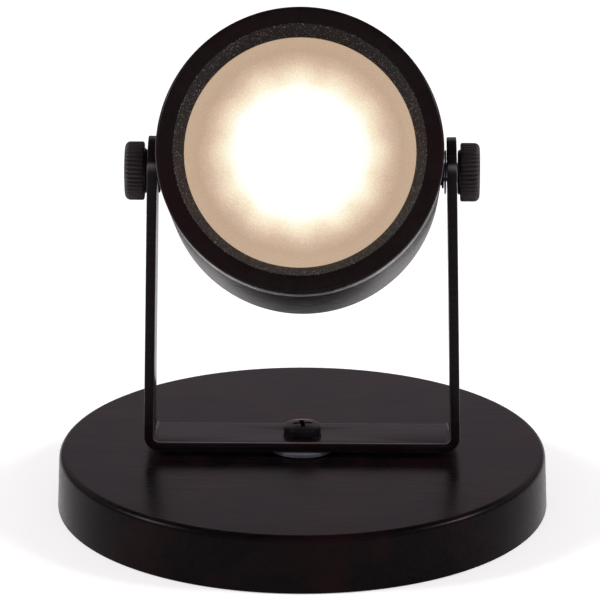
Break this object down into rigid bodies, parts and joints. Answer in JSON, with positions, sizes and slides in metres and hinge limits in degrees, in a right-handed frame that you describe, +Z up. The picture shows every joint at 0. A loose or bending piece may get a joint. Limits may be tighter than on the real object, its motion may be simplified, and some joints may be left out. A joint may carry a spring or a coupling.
{
  "type": "accent uplight",
  "caption": "Small table uplight: a round weighted base, a strap yoke that swivels on it, and a drum head that tilts between two knurled knobs behind a frosted lens.",
  "frame": {"origin": "centre of the base's underside, on the ground", "axes": "+Z up along the swivel axis; the lamp faces -Y; +X is the right-hand knob's side as seen from the front"},
  "size_m": [0.127, 0.127, 0.1391],
  "materials": {
    "base_paint": "satin near-black bronze paint",
    "yoke_paint": "satin near-black bronze paint",
    "head_paint": "satin near-black bronze paint",
    "black_screw": "glossy black plated steel",
    "knob_plastic": "matte, ribbed",
    "frosted_glass": "frosted, lit from behind",
    "zinc": "zinc plated",
    "cast_iron": "rough cast",
    "foam": "closed-cell foam",
    "silicone": "translucent silicone",
    "white_plastic": "white, moulded",
    "board_white": "white solder mask on metal core",
    "board_green": "green solder mask",
    "aluminium": "die cast",
    "black_plastic": "moulded",
    "brass": "plain",
    "lead_red": "wire insulation",
    "lead_black": "wire insulation"
  },
  "bodies": {
    "base": {"base_shell": "base_paint", "base_weight": "cast_iron", "base_pad": "foam", "swivel_washer": "zinc", "wave_washer": "zinc", "nut_washer": "zinc", "yoke_nut": "zinc", "yoke_screw": "black_screw"},
    "yoke": {"yoke": "yoke_paint"},
    "head": {"housing": "head_paint", "front_ring": "head_paint", "lens": "frosted_glass", "lens_gasket": "silicone", "reflector": "white_plastic", "led_board": "board_white", "heat_spreader": "aluminium", "board_screw_1": "zinc", "board_screw_2": "zinc", "board_screw_3": "zinc", "driver_board": "board_green", "driver_capacitor": "black_plastic", "driver_transformer": "black_plastic", "terminal_block": "white_plastic", "driver_screw_1": "zinc", "driver_screw_2": "zinc", "driver_cup": "white_plastic", "lead_positive": "lead_red", "lead_negative": "lead_black", "cord_bushing": "black_plastic", "pivot_insert_left": "brass", "pivot_insert_right": "brass", "pivot_washer_left": "black_plastic", "pivot_washer_right": "black_plastic"},
    "stud_left": {"knob_stud_left": "zinc"},
    "knob_left": {"knob_left": "knob_plastic"},
    "stud_right": {"knob_stud_right": "zinc"},
    "knob_right": {"knob_right": "knob_plastic"}
  },
  "joints": [
    {"name": "yoke_swivel", "type": "hinge", "parent": "base", "child": "yoke", "pos_m": [0, 0, 0.01635], "axis": [0, 0, 1], "range_deg": [-180, 180]},
    {"name": "head_tilt", "type": "hinge", "parent": "yoke", "child": "head", "pos_m": [0, 0, 0.0897], "axis": [-1, 0, 0], "range_deg": [-115, 65]},
    {"name": "knob_left_travel", "type": "slide", "parent": "head", "child": "stud_left", "axis": [-1, 0, 0], "range_m": [0, 0.0016]},
    {"name": "knob_left_turn", "type": "hinge", "parent": "stud_left", "child": "knob_left", "pos_m": [-0.0428, 0, 0.0897], "axis": [-1, 0, 0], "range_deg": [0, 720]},
    {"name": "knob_right_travel", "type": "slide", "parent": "head", "child": "stud_right", "axis": [1, 0, 0], "range_m": [0, 0.0016]},
    {"name": "knob_right_turn", "type": "hinge", "parent": "stud_right", "child": "knob_right", "pos_m": [0.0428, 0, 0.0897], "axis": [1, 0, 0], "range_deg": [0, 720]}
  ],
  "couplings": [
    {"joint": "knob_left_turn", "follows": "knob_left_travel", "rad_per_m": 7853.9},
    {"joint": "knob_right_turn", "follows": "knob_right_travel", "rad_per_m": 7853.9}
  ]
}
